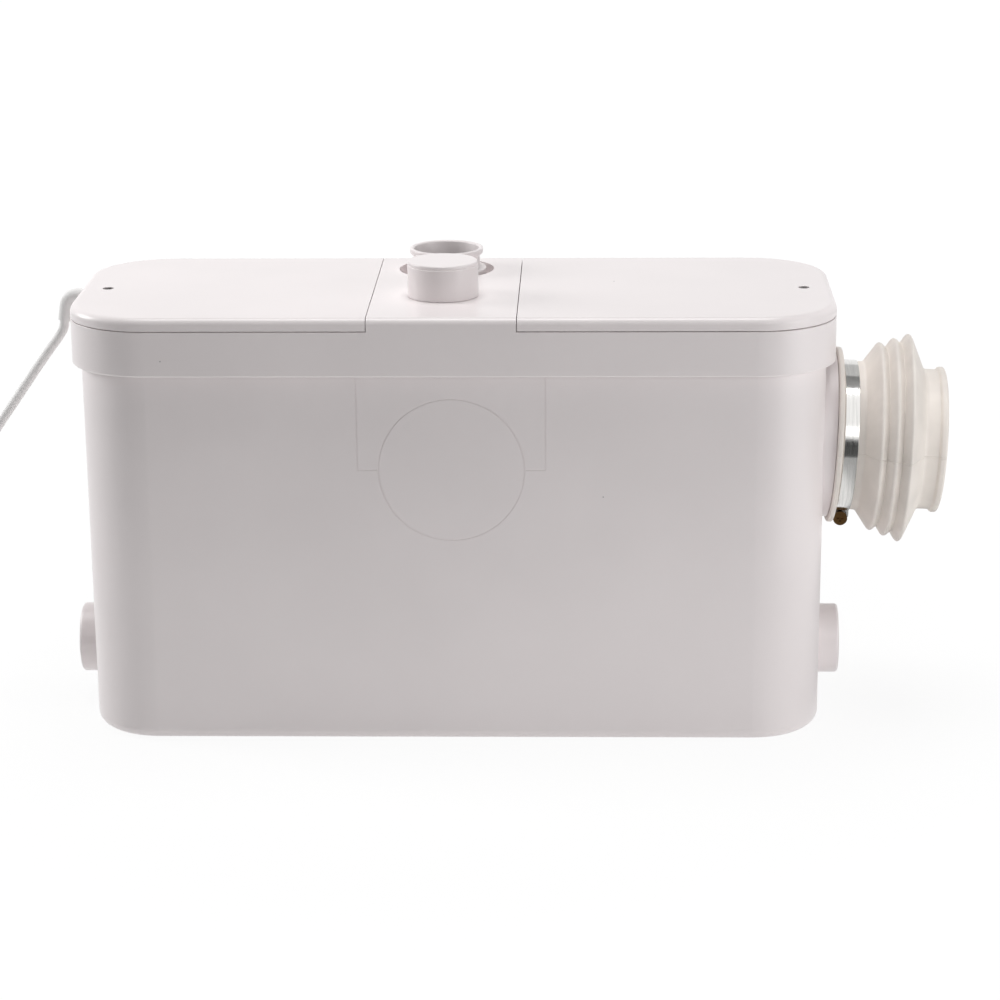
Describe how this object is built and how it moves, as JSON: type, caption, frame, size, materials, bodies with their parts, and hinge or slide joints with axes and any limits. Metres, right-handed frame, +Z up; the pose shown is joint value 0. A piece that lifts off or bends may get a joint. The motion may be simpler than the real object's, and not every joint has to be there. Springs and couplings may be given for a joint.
{
  "type": "macerator toilet pump",
  "caption": "White macerator pump box with a split lid, a ribbed pan connector with a steel clamp, low side inlets, a capped top inlet and a discharge tube.",
  "frame": {"origin": "middle of the tank's base on the floor", "axes": "+X towards the pan connector, -Y towards the front that the picture shows, +Z up"},
  "size_m": [0.8018, 0.1998, 0.2991],
  "materials": {
    "white_plastic": "smooth moulded",
    "cream_rubber": "satin moulded",
    "stainless": "polished band",
    "brassed": "yellow passivated",
    "black_rubber": "matt",
    "black_plastic": "matt moulded",
    "grey_plastic": "matt moulded",
    "ivory_plastic": "matt moulded",
    "steel": "zinc plated",
    "cast_aluminium": "cast",
    "laminations": "stacked sheet",
    "copper_wire": "enamelled winding",
    "carbon": "porous",
    "cord_white": "satin sheath"
  },
  "bodies": {
    "pump": {"tank": "white_plastic", "lid_frame": "white_plastic", "lid_gasket": "black_rubber", "lid_screws": "steel", "wc_bellows": "cream_rubber", "clamp_band": "stainless", "clamp_housing": "stainless", "inlet_chute": "grey_plastic", "left_inlet_stub": "white_plastic", "right_inlet_stub": "white_plastic", "discharge_tube": "white_plastic", "valve_body": "grey_plastic", "riser_pipe": "grey_plastic", "motor_can": "cast_aluminium", "motor_cap": "cast_aluminium", "motor_screws": "steel", "stator_core": "laminations", "stator_winding": "copper_wire", "bearings": "steel", "shaft_seal": "black_rubber", "basket": "grey_plastic", "volute": "grey_plastic", "pump_cover": "grey_plastic", "pump_bolts": "steel", "pump_spacers": "steel", "control_tray": "grey_plastic", "pressure_chamber": "grey_plastic", "diaphragm": "black_rubber", "switch_base": "black_plastic", "switch_screws": "steel", "plunger_spring": "steel", "microswitch": "black_plastic", "capacitor": "ivory_plastic", "capacitor_clip": "steel", "terminal_block": "ivory_plastic", "vent_filter": "carbon", "cable_gland": "cord_white", "cord_lead": "cord_white", "cord_coil": "cord_white", "cord_tail": "cord_white", "coil_tie": "black_plastic", "plug_body": "white_plastic", "plug_pins": "steel"},
    "rotor": {"rotor_core": "laminations", "shaft": "steel", "cutter_blade": "stainless", "impeller": "black_plastic", "impeller_nut": "steel"},
    "left_lid": {"left_cover": "white_plastic", "left_cover_screw": "steel"},
    "right_lid": {"right_cover": "white_plastic", "right_cover_screw": "steel"},
    "inlet_cap": {"top_inlet_cap": "white_plastic"},
    "check_valve": {"check_flap": "black_rubber"},
    "left_flap": {"left_inlet_flap": "black_rubber"},
    "right_flap": {"right_inlet_flap": "black_rubber"},
    "switch_plunger": {"plunger": "ivory_plastic"},
    "lever": {"switch_lever": "steel"},
    "clamp_worm": {"clamp_screw": "brassed"}
  },
  "joints": [
    {"name": "rotor_spin", "type": "hinge", "parent": "pump", "child": "rotor", "pos_m": [0.112, 0, 0.12], "axis": [0, 0, 1], "continuous": true},
    {"name": "left_cover_lift", "type": "slide", "parent": "pump", "child": "left_lid", "axis": [0, 0, 1], "range_m": [0, 0.06]},
    {"name": "right_cover_lift", "type": "slide", "parent": "pump", "child": "right_lid", "axis": [0, 0, 1], "range_m": [0, 0.06]},
    {"name": "inlet_cap_pull", "type": "slide", "parent": "pump", "child": "inlet_cap", "axis": [0, 0, 1], "range_m": [0, 0.03]},
    {"name": "check_flap_swing", "type": "hinge", "parent": "pump", "child": "check_valve", "pos_m": [-0.0078, 0.07595, 0.22565], "axis": [-1, 0, 0], "range_deg": [0, 65]},
    {"name": "left_flap_swing", "type": "hinge", "parent": "pump", "child": "left_flap", "pos_m": [-0.22506, 0, 0.0685], "axis": [0, -1, 0], "range_deg": [0, 50]},
    {"name": "right_flap_swing", "type": "hinge", "parent": "pump", "child": "right_flap", "pos_m": [0.22506, 0, 0.0685], "axis": [0, 1, 0], "range_deg": [0, 50]},
    {"name": "plunger_slide", "type": "slide", "parent": "pump", "child": "switch_plunger", "axis": [0, 0, 1], "range_m": [0, 0.002], "stiffness_N_per_m": 300, "deforming": ["plunger_spring"]},
    {"name": "lever_swing", "type": "hinge", "parent": "pump", "child": "lever", "pos_m": [-0.177, 0.025, 0.2323], "axis": [0, -1, 0], "range_deg": [0, 10]},
    {"name": "clamp_screw_turn", "type": "hinge", "parent": "pump", "child": "clamp_worm", "pos_m": [0.24777, 0, 0.12562], "axis": [0, -1, 0], "continuous": true}
  ],
  "couplings": [
    {"joint": "lever_swing", "follows": "plunger_slide", "rad_per_m": 83.333}
  ]
}
